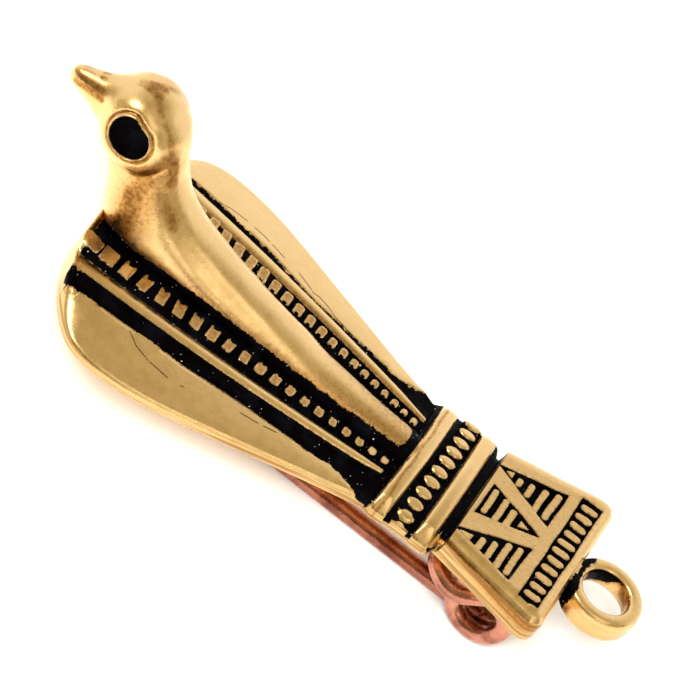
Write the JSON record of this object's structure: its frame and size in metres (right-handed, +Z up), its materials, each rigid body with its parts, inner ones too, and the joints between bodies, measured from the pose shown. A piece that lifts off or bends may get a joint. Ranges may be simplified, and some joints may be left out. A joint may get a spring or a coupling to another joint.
{
  "type": "bird fibula brooch",
  "caption": "Cast brooch shaped as a bird with folded wings, a beaded collar, a carved tail plate and an end ring, with a sprung wire pin under the tail.",
  "frame": {"origin": "middle of the brooch's bounding box, on the surface it lies on, under the foot of the catch", "axes": "+X towards the tail's end ring, +Y towards the bird's right wing, +Z up from the pin to the bird's head"},
  "size_m": [0.0548, 0.0244, 0.0197],
  "materials": {
    "cast_brass": "polished cast brass with a black antique patina in every recess",
    "copper_wire": "bright drawn copper wire"
  },
  "bodies": {
    "brooch": {"fibula_casting": "cast_brass"},
    "pin": {"pin_and_spring": "copper_wire"}
  },
  "joints": [
    {"name": "pin_hinge", "type": "hinge", "parent": "brooch", "child": "pin", "pos_m": [0.0182, 0, 0.0029], "axis": [0, -1, 0], "range_deg": [0, 40], "stiffness_Nm_per_rad": 0.01, "springref_deg": -11.46}
  ]
}
